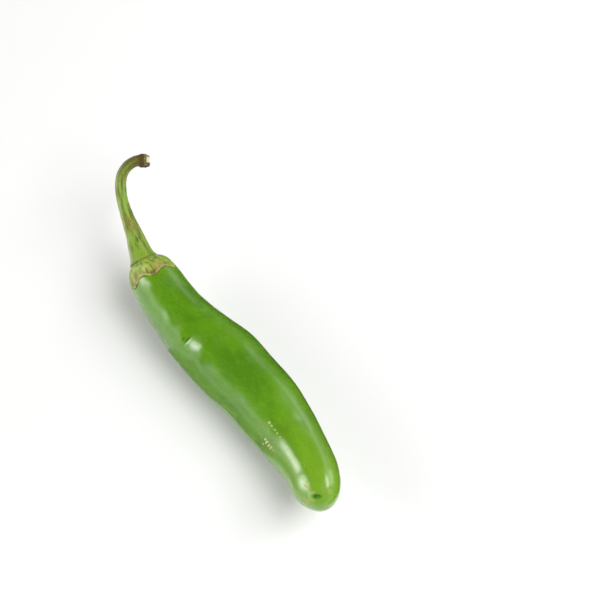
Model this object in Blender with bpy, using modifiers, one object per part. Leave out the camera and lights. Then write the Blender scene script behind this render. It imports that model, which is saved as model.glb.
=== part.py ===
# A green chilli pepper as picked: a long blunt pod, the calyx that caps its shoulder and the
# hooked stem above the calyx. It lies on its belly with the tip towards +X and the stem
# towards -X. The origin is the middle of the small flat that it rests on.
#
# The pod is described along its own bent axis, by a distance from the collar, where the stem
# leaves the calyx, and by an angle round the axis: 0 points to the pepper's +Y side, 90 up.

import math

import bmesh
import bpy
import numpy as np
from mathutils import Vector

MM = 0.001

# The pod's axis, from the collar to the tip
POD_LENGTH = 88.0
TURN_MOST = 10.1  # degrees from +X towards +Y, where the pod swings out furthest
TURN_AT = 0.39  # share of the length where it does
TURN_BEND = 116.5  # degrees lost from there, times the share squared
SLOPE_NECK = 13.0  # degrees that the axis falls at the collar
SLOPE_TIP = -12.0  # and at the tip, where it rises
TIP_CURL = 18.0  # further degrees that the blunt end curls up
TIP_CURL_FROM = 0.68

# Half widths of the pod with its calyx on, in mm, by distance from the collar
HALF_WIDTHS = (
    (0.0, 2.9), (0.7, 4.05), (1.6, 5.15), (2.9, 6.05), (5.0, 6.6), (8.0, 7.05), (13.0, 7.5), (22.0, 8.45),
    (31.0, 9.3), (40.5, 9.95), (50.0, 9.9), (60.0, 9.0), (68.0, 7.8), (75.0, 6.8), (88.0, 5.6),
)
TIP_ROUND = 8.5  # length of the rounded end
SEAMS = 3  # the pod's chambers show as faint rounded corners
SEAM_SWELL = 0.014
SEAM_TWIST = 50.0  # degrees that the corners wind from end to end

# Swells and hollows of the skin: distance, angle, reach along in mm, reach round in degrees, height
SWELLS = (
    (18.4, 10.0, 6.0, 55.0, -0.44),
    (34.9, 10.0, 6.5, 55.0, 0.74),
    (61.0, 10.0, 8.0, 55.0, -0.23),
    (75.8, 10.0, 5.0, 55.0, 0.49),
    (25.2, 195.0, 6.0, 55.0, 0.31),
    (47.0, 195.0, 8.0, 55.0, -0.62),
    (67.4, 195.0, 6.0, 50.0, 0.15),
    (81.5, 190.0, 3.5, 40.0, 0.25),
    (28.4, 127.0, 1.7, 24.0, -0.55),
    (31.8, 121.0, 3.0, 22.0, 0.40),
    (22.0, 126.0, 3.0, 26.0, 0.22),
    (16.5, 131.0, 2.6, 24.0, 0.20),
    (45.0, 300.0, 9.0, 50.0, 0.25),
    (22.0, 285.0, 7.0, 40.0, -0.35),
)
SCAR_AT = (87.0, 117.0)  # the pit that the flower left, a little above the end of the axis
SCAR_REACH = 1.5
SCAR_DEPTH = 0.55

# The belly is flattened a little, so that the pepper lies still
BELLY_CUT = 0.8
BELLY_EASE = 0.25

# The calyx: a thin cap with a waved edge
CALYX_LENGTH = 5.85
CALYX_LOBES = 6
LOBE_REACH = 0.65
LOBE_AT = 37.0  # degrees, the middle of the longest lobe
LOBE_LEAN = 0.35  # how much the lobes differ round the pod
CALYX_WALL = 0.8
SEAT_GAP = 0.35  # all round between the calyx and the pod, and under the stem
SEAT_STEP = 1.8  # length over which the pod's skin comes up level with the calyx
COLLAR_HALF = 2.9

# The stem: its route from the collar's centre, in mm, and its half widths by distance
STEM_ROUTE = (
    (0.0, 0.0, 0.0), (-2.6, 0.33, 0.6), (-6.4, 1.2, 1.8), (-11.2, 2.1, 3.9), (-16.0, 3.4, 6.2),
    (-20.0, 5.8, 7.9), (-21.9, 8.8, 8.6), (-22.0, 11.9, 8.8), (-20.4, 14.9, 8.4),
)
STEM_HALF_WIDTHS = (
    (0.0, 2.75), (1.5, 2.95), (4.0, 2.75), (7.0, 2.3), (9.7, 2.0), (12.4, 1.68), (15.5, 1.5), (19.0, 1.42),
    (28.0, 1.38), (30.5, 1.4), (31.6, 1.7), (32.6, 1.75), (33.6, 1.45),
)
STEM_HALF = 1.4  # size at which the profile is drawn
STEM_RIBS = 5
RIB_HEIGHT = 0.07
STEM_POINTS = 46
PROFILE_POINTS = 20

AXIS_STEPS = 700


def clear_scene():
    for obj in list(bpy.data.objects):
        bpy.data.objects.remove(obj, do_unlink=True)


def make_material(name, colour, roughness):
    material = bpy.data.materials.new(name)
    material.use_nodes = True
    shader = material.node_tree.nodes["Principled BSDF"]
    shader.inputs["Base Color"].default_value = (*colour, 1.0)
    shader.inputs["Roughness"].default_value = roughness
    shader.inputs["Metallic"].default_value = 0.0
    return material


def smooth_step(x):
    x = np.clip(x, 0.0, 1.0)
    return x * x * (3.0 - 2.0 * x)


def smooth_through(stations, x):
    """A smooth curve through (place, value) pairs that never overshoots between two of them."""
    place, value = np.array(stations).T
    x = np.clip(x, place[0], place[-1])
    step = np.diff(place)
    rise = np.diff(value) / step
    slope = np.zeros(len(place))
    same_way = rise[:-1] * rise[1:] > 0
    slope[1:-1][same_way] = 2 * rise[:-1][same_way] * rise[1:][same_way] / (rise[:-1] + rise[1:])[same_way]
    slope[0], slope[-1] = rise[0], rise[-1]
    i = np.clip(np.searchsorted(place, x, side="right") - 1, 0, len(step) - 1)
    h = step[i]
    t = (x - place[i]) / h
    return (
        value[i] * (1 + 2 * t) * (1 - t) ** 2
        + slope[i] * h * t * (1 - t) ** 2
        + value[i + 1] * t * t * (3 - 2 * t)
        - slope[i + 1] * h * t * t * (1 - t)
    )


def pod_axis():
    """Distances, points and directions of the pod's axis, in mm from the collar's centre."""
    share = np.linspace(0.0, 1.0, AXIS_STEPS)
    turn = np.radians(TURN_MOST - TURN_BEND * (share - TURN_AT) ** 2)
    curl = TIP_CURL * smooth_step((share - TIP_CURL_FROM) / (1 - TIP_CURL_FROM))
    slope = np.radians(SLOPE_NECK + (SLOPE_TIP - SLOPE_NECK) * share - curl)
    direction = np.stack(
        [np.cos(slope) * np.cos(turn), np.cos(slope) * np.sin(turn), -np.sin(slope)], axis=1
    )
    step = POD_LENGTH / (AXIS_STEPS - 1)
    points = np.vstack([np.zeros(3), np.cumsum((direction[1:] + direction[:-1]) / 2 * step, axis=0)])
    return share * POD_LENGTH, points, direction


def frame_at(distance):
    """Centre, direction, side and up vectors of the axis at each distance."""
    places, points, directions = pod_axis()
    centre = np.stack([np.interp(distance, places, points[:, k]) for k in range(3)], axis=-1)
    along = np.stack([np.interp(distance, places, directions[:, k]) for k in range(3)], axis=-1)
    along /= np.linalg.norm(along, axis=-1, keepdims=True)
    side = np.stack([-along[..., 1], along[..., 0], np.zeros_like(along[..., 0])], axis=-1)
    side /= np.linalg.norm(side, axis=-1, keepdims=True)
    return centre, along, side, np.cross(along, side)


def around_axis(distance, angle, half):
    """Points at a half width from the axis, by distance and angle."""
    centre, _, side, up = frame_at(distance)
    return centre + half[:, None] * (np.cos(angle)[:, None] * side + np.sin(angle)[:, None] * up)


def turned_by(angle, middle):
    """Degrees from the middle angle, the short way round."""
    return (np.degrees(angle) - middle + 180.0) % 360.0 - 180.0


def skin_half(distance, angle):
    """Half width of the pod and calyx together, before the round end."""
    half = smooth_through(HALF_WIDTHS, distance)
    twist = np.radians(SEAM_TWIST) * distance / POD_LENGTH
    half = half * (1 + SEAM_SWELL * np.cos(SEAMS * (angle + twist)))
    for middle, at_angle, reach, spread, height in SWELLS:
        along = ((distance - middle) / reach) ** 2
        round_it = (turned_by(angle, at_angle) / spread) ** 2
        half = half + height * np.exp(-along - round_it)
    return half


def rim_distance(angle):
    """How far down the pod the calyx reaches, at each angle: lobes with notches between."""
    turned = angle - math.radians(LOBE_AT)
    return CALYX_LENGTH + LOBE_REACH * (np.cos(CALYX_LOBES * turned) + LOBE_LEAN * np.cos(2 * turned))


def pod_half(distance, angle):
    """Half width of the pod alone: it steps in under the calyx and is rounded at both ends."""
    outer = skin_half(distance, angle)
    top = CALYX_WALL + SEAT_GAP
    inner = skin_half(np.maximum(distance - top, 0.0), angle) - top
    out_of_calyx = smooth_step((distance - rim_distance(angle) - SEAT_GAP / 2) / SEAT_STEP)
    half = inner + (outer - inner) * out_of_calyx
    shoulder = np.clip((distance - top) / TIP_ROUND, 0.0, 1.0)
    end = np.clip((distance - POD_LENGTH + TIP_ROUND) / TIP_ROUND, 0.0, 1.0)
    return half * np.sqrt(1 - (1 - shoulder) ** 8) * np.sqrt(1 - end**2)


def flatten_belly(points, floor):
    """Eases what lies below the floor height up to it, which leaves a small flat."""
    height = points[:, 2] - floor
    eased = (height + BELLY_EASE) ** 2 / (4 * BELLY_EASE)
    height = np.where(height < -BELLY_EASE, 0.0, np.where(height < BELLY_EASE, eased, height))
    points[:, 2] = floor + height
    return points


def belly():
    """The lowest point of the pod's underside, in mm."""
    distance = np.linspace(0.0, POD_LENGTH, AXIS_STEPS)
    angle = np.full(AXIS_STEPS, math.radians(270.0))
    under = around_axis(distance, angle, pod_half(distance, angle))
    return under[np.argmin(under[:, 2])]


def new_object(name, data, material, parent, collection):
    obj = bpy.data.objects.new(name, data)
    collection.objects.link(obj)
    data.materials.append(material)
    obj.parent = parent
    return obj


def build_pod(material, parent, collection, floor):
    """A sphere whose rings are spread along the bent axis and pulled to the skin.

    Its top goes to the calyx end, so its angles are read the other way round.
    """
    mesh = bpy.data.meshes.new("pod")
    bm = bmesh.new()
    bmesh.ops.create_uvsphere(bm, u_segments=44, v_segments=76, radius=1.0)
    ball = np.array([v.co for v in bm.verts])
    top = CALYX_WALL + SEAT_GAP
    share = (1 - ball[:, 2]) / 2
    distance = top + (POD_LENGTH - top) * share
    angle = np.arctan2(-ball[:, 1], ball[:, 0])
    points = around_axis(distance, angle, pod_half(distance, angle))
    scar_at, scar_angle = np.array([SCAR_AT[0]]), np.radians([SCAR_AT[1]])
    scar = around_axis(scar_at, scar_angle, pod_half(scar_at, scar_angle))[0]
    inward = frame_at(np.array([POD_LENGTH - TIP_ROUND]))[0][0] - scar
    inward /= np.linalg.norm(inward)
    from_scar = np.linalg.norm(points - scar, axis=1)
    points += (SCAR_DEPTH * np.exp(-((from_scar / SCAR_REACH) ** 2)))[:, None] * inward
    points = flatten_belly(points, floor)
    for vertex, point in zip(bm.verts, points):
        vertex.co = point * MM
    bm.to_mesh(mesh)
    bm.free()
    mesh.shade_smooth()
    return new_object("pod", mesh, material, parent, collection)


def build_calyx(material, parent, collection):
    """The upper half of a sphere, drawn down over the shoulder to the waved edge, then thickened."""
    mesh = bpy.data.meshes.new("calyx")
    bm = bmesh.new()
    rings, collar_rings = 13, 3
    bmesh.ops.create_uvsphere(bm, u_segments=60, v_segments=2 * rings, radius=1.0)
    lower = [v for v in bm.verts if v.co.z < -0.001]
    bmesh.ops.delete(bm, geom=lower, context="VERTS")
    ball = np.array([v.co for v in bm.verts])
    ring = np.arccos(np.clip(ball[:, 2], -1.0, 1.0)) / (math.pi / 2) * rings
    angle = np.arctan2(-ball[:, 1], ball[:, 0])
    down = np.clip((ring - collar_rings) / (rings - collar_rings), 0.0, 1.0)
    distance = rim_distance(angle) * down**1.25
    half = skin_half(distance, angle)
    on_collar = ring < collar_rings
    half[on_collar] = COLLAR_HALF * ring[on_collar] / collar_rings
    for vertex, point in zip(bm.verts, around_axis(distance, angle, half)):
        vertex.co = point * MM
    bm.to_mesh(mesh)
    bm.free()
    mesh.shade_smooth()
    obj = new_object("calyx", mesh, material, parent, collection)
    wall = obj.modifiers.new("wall", "SOLIDIFY")
    wall.thickness = CALYX_WALL * MM
    wall.offset = -1.0
    return obj


def route_points(route, count):
    """Points and distances on a smooth curve through the route's own points."""
    route = np.array(route)
    ends = np.vstack([2 * route[0] - route[1], route, 2 * route[-1] - route[-2]])
    made = []
    for i in range(len(route) - 1):
        a, b, c, d = ends[i : i + 4]
        for t in np.linspace(0.0, 1.0, 40, endpoint=False):
            made.append(
                0.5 * (2 * b + (c - a) * t + (2 * a - 5 * b + 4 * c - d) * t**2 + (3 * b - a - 3 * c + d) * t**3)
            )
    made = np.vstack([made, route[-1]])
    length = np.concatenate([[0.0], np.cumsum(np.linalg.norm(np.diff(made, axis=0), axis=1))])
    distance = np.linspace(0.0, length[-1], count)
    return np.stack([np.interp(distance, length, made[:, k]) for k in range(3)], axis=1), distance


def stem_profile(collection):
    """A ring with five soft ribs, the guide for the stem's section."""
    data = bpy.data.curves.new("stem_profile", "CURVE")
    data.dimensions = "2D"
    spline = data.splines.new("POLY")
    spline.points.add(PROFILE_POINTS - 1)
    for k, point in enumerate(spline.points):
        angle = -2 * math.pi * k / PROFILE_POINTS
        half = STEM_HALF * MM * (1 + RIB_HEIGHT * math.cos(STEM_RIBS * angle))
        point.co = (half * math.cos(angle), half * math.sin(angle), 0.0, 1.0)
    spline.use_cyclic_u = True
    obj = bpy.data.objects.new("stem_profile", data)
    collection.objects.link(obj)
    obj.hide_render = True
    obj.display_type = "WIRE"
    return obj


def build_stem(material, parent, collection, guides):
    """A ribbed tube along the route, flared at the calyx and swollen at the cut end."""
    data = bpy.data.curves.new("stem", "CURVE")
    data.dimensions = "3D"
    data.bevel_mode = "OBJECT"
    data.bevel_object = stem_profile(guides)
    data.use_fill_caps = True
    _, along, _, _ = frame_at(np.zeros(1))
    points, distance = route_points(STEM_ROUTE, STEM_POINTS)
    points = points - along[0] * SEAT_GAP
    half = smooth_through(STEM_HALF_WIDTHS, distance / distance[-1] * STEM_HALF_WIDTHS[-1][0])
    spline = data.splines.new("POLY")
    spline.points.add(len(points) - 1)
    for point, place, width in zip(spline.points, points, half):
        point.co = (*(place * MM), 1.0)
        point.radius = width / STEM_HALF
    return new_object("stem", data, material, parent, collection)


def main():
    clear_scene()
    pepper = bpy.data.collections.new("chilli_pepper")
    guides = bpy.data.collections.new("guides")
    for collection in (pepper, guides):
        bpy.context.scene.collection.children.link(collection)
    low = belly()
    floor = low[2] + BELLY_CUT
    rest = bpy.data.objects.new("rest", None)
    rest.location = Vector((-low[0], -low[1], -floor)) * MM
    pepper.objects.link(rest)
    build_pod(make_material("pod_skin", (0.10, 0.33, 0.03), 0.25), rest, pepper, floor)
    build_calyx(make_material("calyx", (0.33, 0.42, 0.13), 0.55), rest, pepper)
    build_stem(make_material("stem", (0.22, 0.36, 0.08), 0.5), rest, pepper, guides)


main()
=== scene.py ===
# A fresh green chilli pepper lying on a pale floor: glossy bent pod, calyx cap and hooked stem.
# Shapes are worked out in millimetres from the collar, where the stem leaves the calyx, then
# moved so that the flat on the belly rests on the floor.
import bpy
import math
import numpy as np
from mathutils import Matrix, Vector


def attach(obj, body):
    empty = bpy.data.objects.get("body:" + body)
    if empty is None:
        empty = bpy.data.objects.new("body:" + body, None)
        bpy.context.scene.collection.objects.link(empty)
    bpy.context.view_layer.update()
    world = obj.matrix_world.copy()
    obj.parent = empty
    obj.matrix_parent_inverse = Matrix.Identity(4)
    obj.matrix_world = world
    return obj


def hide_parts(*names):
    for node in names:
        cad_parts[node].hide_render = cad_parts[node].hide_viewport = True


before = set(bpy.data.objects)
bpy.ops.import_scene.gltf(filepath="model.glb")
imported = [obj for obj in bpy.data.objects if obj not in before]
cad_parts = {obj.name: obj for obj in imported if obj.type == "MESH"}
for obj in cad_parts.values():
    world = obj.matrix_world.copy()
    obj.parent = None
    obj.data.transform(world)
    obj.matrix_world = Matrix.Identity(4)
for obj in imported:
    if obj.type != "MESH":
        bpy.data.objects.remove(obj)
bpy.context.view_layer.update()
print("frame loaded")

mm = 0.001
collarPlace = np.array([-42.955, -4.071, 14.261])  # the collar's centre in the row frame, in mm


# the shape that pod and calyx share, in mm and degrees
podShape = {
    "length": 88.0,
    "turnMost": 10.1, "turnAt": 0.39, "turnBend": 116.5,  # swing of the axis seen from above
    "slopeNeck": 13.0, "slopeTip": -12.0, "tipCurl": 18.0, "tipCurlFrom": 0.68,  # fall and rise
    "tipRound": 8.5, "shoulderPower": 8,
    "seams": 3, "seamSwell": 0.014, "seamTwist": 50.0,
    # distance from the collar, half width
    "halfWidths": (
        (0.0, 2.9), (0.7, 4.05), (1.6, 5.15), (2.9, 6.05), (5.0, 6.6), (8.0, 7.05), (13.0, 7.5),
        (22.0, 8.45), (31.0, 9.3), (40.5, 9.95), (50.0, 9.9), (60.0, 9.0), (68.0, 7.8), (75.0, 6.8),
        (88.0, 5.6),
    ),
    # distance, angle, reach along, reach round in degrees, height
    "swells": (
        (18.4, 10.0, 6.0, 55.0, -0.44), (34.9, 10.0, 6.5, 55.0, 0.74),
        (61.0, 10.0, 8.0, 55.0, -0.23), (75.8, 10.0, 5.0, 55.0, 0.49),
        (25.2, 195.0, 6.0, 55.0, 0.31), (47.0, 195.0, 8.0, 55.0, -0.62),
        (67.4, 195.0, 6.0, 50.0, 0.15), (81.5, 190.0, 3.5, 40.0, 0.25),
        (24.2, 125.0, 2.6, 24.0, 0.24), (18.9, 132.0, 2.2, 20.0, 0.16),
        (31.4, 121.0, 2.6, 22.0, 0.30), (45.0, 300.0, 9.0, 50.0, 0.25),
        (22.0, 285.0, 7.0, 40.0, -0.35), (72.0, 120.0, 6.0, 26.0, 0.50),
    ),
    "bellyCut": 0.8, "bellyEase": 0.25,
    "calyxLength": 5.85, "lobes": 6, "lobeReach": 0.65, "lobeAt": 37.0, "lobeLean": 0.35,
    "calyxWall": 0.32, "seatGap": 0.06, "seatStep": 0.32, "seatBack": 0.10,
}


def smoothStep(x):
    x = np.clip(x, 0.0, 1.0)
    return x * x * (3.0 - 2.0 * x)


def smoothThrough(stations, x):  # a smooth curve through (place, value) pairs, with no overshoot
    place, value = np.array(stations).T
    x = np.clip(x, place[0], place[-1])
    step = np.diff(place)
    rise = np.diff(value) / step
    slope = np.zeros(len(place))
    sameWay = rise[:-1] * rise[1:] > 0
    before, after = rise[:-1][sameWay], rise[1:][sameWay]
    slope[1:-1][sameWay] = 2 * before * after / (before + after)
    slope[0], slope[-1] = rise[0], rise[-1]
    i = np.clip(np.searchsorted(place, x, side="right") - 1, 0, len(step) - 1)
    h = step[i]
    t = (x - place[i]) / h
    return (
        value[i] * (1 + 2 * t) * (1 - t) ** 2 + slope[i] * h * t * (1 - t) ** 2
        + value[i + 1] * t * t * (3 - 2 * t) - slope[i + 1] * h * t * t * (1 - t)
    )


def makeAxis(steps=900):
    shape = podShape
    share = np.linspace(0.0, 1.0, steps)
    turn = np.radians(shape["turnMost"] - shape["turnBend"] * (share - shape["turnAt"]) ** 2)
    curl = smoothStep((share - shape["tipCurlFrom"]) / (1 - shape["tipCurlFrom"]))
    fall = shape["slopeNeck"] + (shape["slopeTip"] - shape["slopeNeck"]) * share
    slope = np.radians(fall - shape["tipCurl"] * curl)
    level = np.cos(slope)
    heading = np.stack([level * np.cos(turn), level * np.sin(turn), -np.sin(slope)], axis=1)
    step = shape["length"] / (steps - 1)
    moved = np.cumsum((heading[1:] + heading[:-1]) / 2 * step, axis=0)
    return share * shape["length"], np.vstack([np.zeros(3), moved]), heading


axisPlaces, axisPoints, axisHeadings = makeAxis()


def axisFrame(distance):  # centre, heading, side and up at each distance
    centre, along = (
        np.stack([np.interp(distance, axisPlaces, values[:, k]) for k in range(3)], axis=-1)
        for values in (axisPoints, axisHeadings)
    )
    along /= np.linalg.norm(along, axis=-1, keepdims=True)
    side = np.stack([-along[..., 1], along[..., 0], np.zeros_like(along[..., 0])], axis=-1)
    side /= np.linalg.norm(side, axis=-1, keepdims=True)
    return centre, along, side, np.cross(along, side)


def aroundAxis(distance, angle, half):
    centre, _, side, up = axisFrame(distance)
    outward = np.cos(angle)[..., None] * side + np.sin(angle)[..., None] * up
    return centre + half[..., None] * outward


def turnedBy(angle, middle):  # degrees from the middle angle, the short way round
    return (np.degrees(angle) - middle + 180.0) % 360.0 - 180.0


def skinHalf(distance, angle):  # half width of pod and calyx together, before the round end
    half = smoothThrough(podShape["halfWidths"], distance)
    twist = np.radians(podShape["seamTwist"]) * distance / podShape["length"]
    half = half * (1 + podShape["seamSwell"] * np.cos(podShape["seams"] * (angle + twist)))
    for place, atAngle, reach, reachRound, height in podShape["swells"]:
        turned = turnedBy(angle, atAngle) / reachRound
        half = half + height * np.exp(-((distance - place) / reach) ** 2 - turned ** 2)
    return half


def rimDistance(angle):  # how far down the pod the calyx reaches
    turned = angle - math.radians(podShape["lobeAt"])
    lobes = np.cos(podShape["lobes"] * turned) + podShape["lobeLean"] * np.cos(2 * turned)
    return podShape["calyxLength"] + podShape["lobeReach"] * lobes


def roundEnd(distance):
    end = (distance - podShape["length"] + podShape["tipRound"]) / podShape["tipRound"]
    return np.sqrt(1 - np.clip(end, 0.0, 1.0) ** 2)


def podHalf(distance, angle):  # the pod alone: it steps in under the calyx, round at both ends
    outer = skinHalf(distance, angle)
    top = podShape["calyxWall"] + podShape["seatGap"]
    inner = skinHalf(np.maximum(distance - top, 0.0), angle) - top
    past = distance - rimDistance(angle) + podShape["seatBack"]
    half = inner + (outer - inner) * smoothStep(past / podShape["seatStep"])
    shoulder = np.clip((distance - top) / podShape["tipRound"], 0.0, 1.0)
    return half * np.sqrt(1 - (1 - shoulder) ** podShape["shoulderPower"]) * roundEnd(distance)


def flattenBelly(points, floor):
    ease = podShape["bellyEase"]
    height = points[..., 2] - floor
    eased = (height + ease) ** 2 / (4 * ease)
    height = np.where(height < -ease, 0.0, np.where(height < ease, eased, height))
    points[..., 2] = floor + height
    return points


def gridFaces(rows, columns, firstPole, lastPole):  # closed rings between two poles, wound outwards
    faces = []
    last = (rows - 1) * columns
    for i in range(rows - 1):
        for j in range(columns):
            k = (j + 1) % columns
            a, b = i * columns, (i + 1) * columns
            faces.append((a + j, a + k, b + k, b + j))
    for j in range(columns):
        k = (j + 1) % columns
        faces.append((firstPole, k, j))
        faces.append((lastPole, last + j, last + k))
    return faces


def waves(points, seed, lengths, strength, perLength=5):  # slow unevenness, each sine its own way
    rng = np.random.default_rng(seed)
    total = np.zeros(points.shape[:-1])
    for length in lengths:
        for _ in range(perLength):
            way = rng.normal(size=3)
            way *= 2 * math.pi / length / np.linalg.norm(way)
            shift = rng.uniform(0, 2 * math.pi)
            total += np.sin(points @ way + shift) * strength / len(lengths)
    return total / math.sqrt(perLength)


def straightPlace(distance, angle, half):  # where a point lies on the pod if it were straight
    return np.stack([distance, half * np.cos(angle), half * np.sin(angle)], axis=-1)


# objects
def addObject(name, data):
    made = bpy.data.objects.new(name, data)
    bpy.context.scene.collection.objects.link(made)
    return made


def makePiece(name, points, faces, place):
    mesh = bpy.data.meshes.new(name)
    mesh.from_pydata([tuple(p) for p in (points + collarPlace) * mm], [], faces)
    mesh.update()
    mesh.shade_smooth()
    attribute = mesh.attributes.new("place", "FLOAT_VECTOR", "POINT")
    attribute.data.foreach_set("vector", place.astype(np.float32).ravel())
    return addObject(name, mesh)


def storeShare(piece, name, values):
    attribute = piece.data.attributes.new(name, "FLOAT", "POINT")
    attribute.data.foreach_set("value", values.astype(np.float32))


def makeLine(name, points, halfWidths=None):  # a line through points in mm from the collar
    line = bpy.data.curves.new(name, "CURVE")
    line.dimensions = "3D"
    spline = line.splines.new("POLY")
    spline.points.add(len(points) - 1)
    for i, place in enumerate((points + collarPlace) * mm):
        spline.points[i].co = (*place, 1.0)
        if halfWidths is not None:
            spline.points[i].radius = halfWidths[i] * mm
    return addObject(name, line)


# nodes
def newMaterial(name):
    material = bpy.data.materials.new(name)
    material.use_nodes = True
    return material, material.node_tree, material.node_tree.nodes["Principled BSDF"]


def setInputs(tree, node, inputs):  # links sockets, and sets numbers and colours
    for key, value in inputs.items():
        socket = node.inputs[key]
        if isinstance(value, bpy.types.NodeSocket):
            tree.links.new(value, socket)
        else:
            socket.default_value = (*value, 1.0) if socket.type == "RGBA" else value


def addNode(tree, kind, inputs, **settings):
    node = tree.nodes.new(kind)
    for key, value in settings.items():
        setattr(node, key, value)
    setInputs(tree, node, inputs)
    return node


def result(tree, kind, inputs, output=0, **settings):
    return addNode(tree, kind, inputs, **settings).outputs[output]


def maths(tree, operation, first, second=0.0):
    return result(tree, "ShaderNodeMath", {0: first, 1: second}, operation=operation)


def times(tree, first, second):
    return maths(tree, "MULTIPLY", first, second)


def vectorMaths(tree, operation, inputs, output=0):
    return result(tree, "ShaderNodeVectorMath", inputs, output, operation=operation)


def spread(tree, value, low, high, atLow=0.0, atHigh=1.0, kind="SMOOTHSTEP"):
    limits = {"From Min": low, "From Max": high, "To Min": atLow, "To Max": atHigh}
    return result(tree, "ShaderNodeMapRange", {"Value": value, **limits}, interpolation_type=kind)


def mixColour(tree, share, first, second):
    return result(tree, "ShaderNodeMix", {0: share, 6: first, 7: second}, 2, data_type="RGBA")


def grain(tree, place, scale, detail, rough, distort=0.0):  # one scale, or one along each axis
    if isinstance(scale, tuple):
        place = result(tree, "ShaderNodeMapping", {"Vector": place, "Scale": scale})
        scale = 1.0
    inputs = {"Scale": scale, "Detail": detail, "Roughness": rough, "Distortion": distort}
    return result(tree, "ShaderNodeTexNoise", {"Vector": place, **inputs})


def stored(tree, name, output=2):  # an attribute of the mesh: output 1 is a vector, 2 a number
    return result(tree, "ShaderNodeAttribute", {}, output, attribute_name=name)


# the strongest of several ragged stains, each (distance, angle, size, strength)
def stainMask(tree, place, stains, halfOf, ragged, soft, raggedness=1.6):
    total = None
    for distance, angle, size, strength in stains:
        half = float(halfOf(np.array([distance]), np.radians([angle]))[0])
        middle = tuple(straightPlace(distance, math.radians(angle), half).tolist())
        far = vectorMaths(tree, "SUBTRACT", {0: place, 1: middle})
        far = vectorMaths(tree, "MULTIPLY", {0: far, 1: tuple(1 / s for s in size)})
        far = vectorMaths(tree, "LENGTH", {0: far}, 1)
        shift = times(tree, maths(tree, "SUBTRACT", ragged, 0.5), raggedness)
        mask = spread(tree, maths(tree, "ADD", far, shift), 1.0 + soft, 1.0 - soft)
        mask = times(tree, mask, strength)
        total = mask if total is None else maths(tree, "MAXIMUM", total, mask)
    return total


# product of masks: (name), (name, factor), or (name, low, high, share at low, share at high)
def maskOf(tree, values, parts):
    total = None
    for name, *numbers in parts:
        value = values[name]
        if len(numbers) == 1:
            value = times(tree, value, numbers[0])
        elif numbers:
            value = spread(tree, value, *numbers)
        total = value if total is None else times(tree, total, value)
    return total


# a look's noises, then its layers of colour and its bumps, each over the one before
def addNoises(tree, look, place):
    return {name: grain(tree, place, *numbers) for name, numbers in look["noises"].items()}


def layered(tree, look, values):
    colour = look["colours"][look["ground"]]
    for name, *parts in look["layers"]:
        colour = mixColour(tree, maskOf(tree, values, parts), colour, look["colours"][name])
    return colour


def bumped(tree, look, values):
    under = {}
    for name, strength, height in look["bumps"]:
        inputs = {"Height": values[name], "Strength": strength, "Distance": height * mm}
        under = {"Normal": result(tree, "ShaderNodeBump", {**inputs, **under})}
    return under["Normal"]


def setSurface(tree, shader, look, values, rough):
    setInputs(tree, shader, {
        **look["surface"], "Base Color": layered(tree, look, values), "Roughness": rough,
        "Normal": bumped(tree, look, values),
    })


# a node group with named inputs: the group, its inputs' identifiers, its input and output sockets
def newGroup(name, inputs):
    group = bpy.data.node_groups.new(name, "GeometryNodeTree")
    new = group.interface.new_socket
    keys = {}
    for kind, names in inputs:
        for key in names:
            keys[key] = new(key, in_out="INPUT", socket_type="NodeSocket" + kind).identifier
    new("Made", in_out="OUTPUT", socket_type="NodeSocketGeometry")
    given, made = group.nodes.new("NodeGroupInput"), group.nodes.new("NodeGroupOutput")
    return group, keys, given.outputs, made.inputs[0]


def finishGroup(group, geometry, material, made):
    geometry = result(group, "GeometryNodeSetShadeSmooth", {"Geometry": geometry})
    geometry = result(group, "GeometryNodeRealizeInstances", {"Geometry": geometry})
    inputs = {"Geometry": geometry, "Material": material}
    group.links.new(result(group, "GeometryNodeSetMaterial", inputs), made)


def bakeNodes(name, source, tree, values):
    group, keys = tree
    modifier = source.modifiers.new("nodes", "NODES")
    modifier.node_group = group
    for key, value in values.items():
        modifier[keys[key]] = value
    evaluated = source.evaluated_get(bpy.context.evaluated_depsgraph_get())
    mesh = bpy.data.meshes.new_from_object(evaluated)
    mesh.name = name
    source.modifiers.remove(modifier)
    piece = addObject(name, mesh)
    bpy.data.objects.remove(source)
    return piece


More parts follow.
